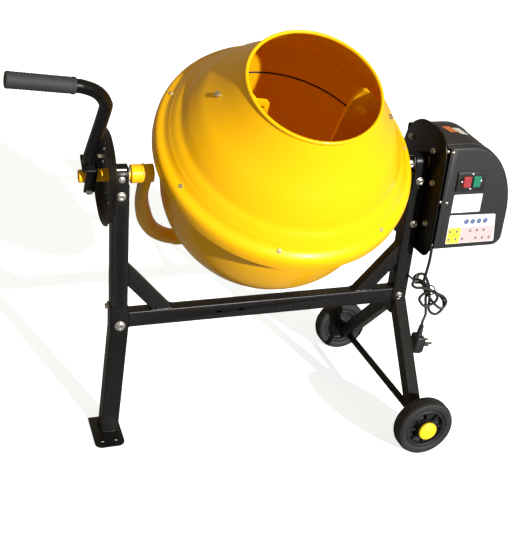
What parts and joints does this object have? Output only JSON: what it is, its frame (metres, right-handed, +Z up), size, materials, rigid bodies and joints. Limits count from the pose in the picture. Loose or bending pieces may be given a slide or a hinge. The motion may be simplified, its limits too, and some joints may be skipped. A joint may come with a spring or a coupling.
{
  "type": "concrete mixer",
  "caption": "Portable electric drum mixer: tilting yellow drum in a U-yoke on a black wheeled frame, motor box on one side, locking tilt handle on the other.",
  "frame": {"origin": "on the floor, under the centre of the overall bounding box", "axes": "+X along the tilt axis from the tilting handle to the motor box, +Z up, and the drum mouth leans towards -Y at rest"},
  "size_m": [1.0942, 0.5314, 0.9154],
  "materials": {
    "yellow_paint": "gloss",
    "black_paint": "semi-gloss",
    "zinc": "zinc plated",
    "bare_steel": "machined",
    "cast_iron": "as cast",
    "black_plastic": "fine texture",
    "grip_rubber": "moulded",
    "tyre_rubber": "matt",
    "yellow_plastic": "gloss",
    "red_plastic": "gloss",
    "green_plastic": "gloss",
    "nylon": "natural"
  },
  "bodies": {
    "root": {"left_post": "black_paint", "right_post": "black_paint", "crossbar": "black_paint", "left_leg": "black_paint", "foot_plate": "black_paint", "wheel_leg_front": "black_paint", "wheel_leg_rear": "black_paint", "axle": "bare_steel", "left_trunnion_bush": "nylon", "right_trunnion_bush": "nylon", "left_bearing_strap": "black_paint", "right_bearing_strap": "black_paint", "left_strap_bolt": "zinc", "right_strap_bolt": "zinc", "leg_bolt": "zinc", "lock_disc": "black_paint", "motor_back_plate": "black_paint", "motor_cover": "black_plastic", "switch_housing": "black_plastic", "motor": "cast_iron", "drive_belt": "grip_rubber", "power_cable": "grip_rubber", "power_plug": "black_plastic"},
    "yoke": {"yoke": "yellow_paint", "pinion_bush": "nylon", "spindle_bearing": "bare_steel"},
    "drum": {"lower_drum": "yellow_paint", "upper_drum": "yellow_paint", "ring_gear": "cast_iron", "drum_spindle": "bare_steel", "spindle_nut": "zinc", "mixing_blade_1": "yellow_paint", "mixing_blade_2": "yellow_paint", "blade_bolt_1": "zinc", "blade_bolt_2": "zinc", "flange_bolt_1": "zinc", "flange_bolt_2": "zinc", "flange_bolt_3": "zinc", "flange_bolt_4": "zinc", "flange_bolt_5": "zinc", "flange_bolt_6": "zinc", "flange_bolt_7": "zinc"},
    "pinion_train": {"pinion": "cast_iron", "pinion_shaft": "bare_steel", "driven_pulley": "black_plastic"},
    "motor_rotor": {"motor_pulley": "bare_steel"},
    "handle": {"handle_tube": "black_paint", "handle_grip": "grip_rubber", "handle_fork": "black_paint", "handle_pivot_bolt": "zinc", "handle_spring": "bare_steel", "lock_pin": "zinc"},
    "front_wheel": {"front_wheel_hub": "black_plastic", "front_tyre": "tyre_rubber", "front_hub_cap": "yellow_plastic"},
    "rear_wheel": {"rear_wheel_hub": "black_plastic", "rear_tyre": "tyre_rubber", "rear_hub_cap": "yellow_plastic"},
    "start_button_body": {"start_button": "green_plastic"},
    "stop_button_body": {"stop_button": "red_plastic"}
  },
  "joints": [
    {"name": "drum_tilt", "type": "hinge", "parent": "root", "child": "yoke", "pos_m": [0.01469, 0.00464, 0.613], "axis": [1, 0, 0], "range_deg": [-150, 90]},
    {"name": "drum_spin", "type": "hinge", "parent": "yoke", "child": "drum", "pos_m": [0.01469, 0.00464, 0.613], "axis": [0, -0.5793, 0.8151], "continuous": true},
    {"name": "pinion_spin", "type": "hinge", "parent": "yoke", "child": "pinion_train", "pos_m": [0.01469, 0.00464, 0.613], "axis": [1, 0, 0], "continuous": true},
    {"name": "motor_spin", "type": "hinge", "parent": "root", "child": "motor_rotor", "pos_m": [0.01469, 0.01664, 0.492], "axis": [1, 0, 0], "continuous": true},
    {"name": "handle_release", "type": "hinge", "parent": "yoke", "child": "handle", "pos_m": [-0.37981, 0.01709, 0.59547], "axis": [0, -0.8151, -0.5793], "range_deg": [-3.5, 15]},
    {"name": "front_wheel_spin", "type": "hinge", "parent": "root", "child": "front_wheel", "pos_m": [0.33309, -0.22736, 0.0677], "axis": [0, 1, 0], "continuous": true},
    {"name": "rear_wheel_spin", "type": "hinge", "parent": "root", "child": "rear_wheel", "pos_m": [0.33309, 0.23664, 0.0677], "axis": [0, 1, 0], "continuous": true},
    {"name": "start_press", "type": "slide", "parent": "root", "child": "start_button_body", "axis": [0, 1, 0], "range_m": [0, 0.003]},
    {"name": "stop_press", "type": "slide", "parent": "root", "child": "stop_button_body", "axis": [0, 1, 0], "range_m": [0, 0.003]}
  ],
  "couplings": [
    {"joint": "pinion_spin", "follows": "drum_spin", "ratio": -6.6},
    {"joint": "motor_spin", "follows": "drum_spin", "ratio": -36.667}
  ]
}
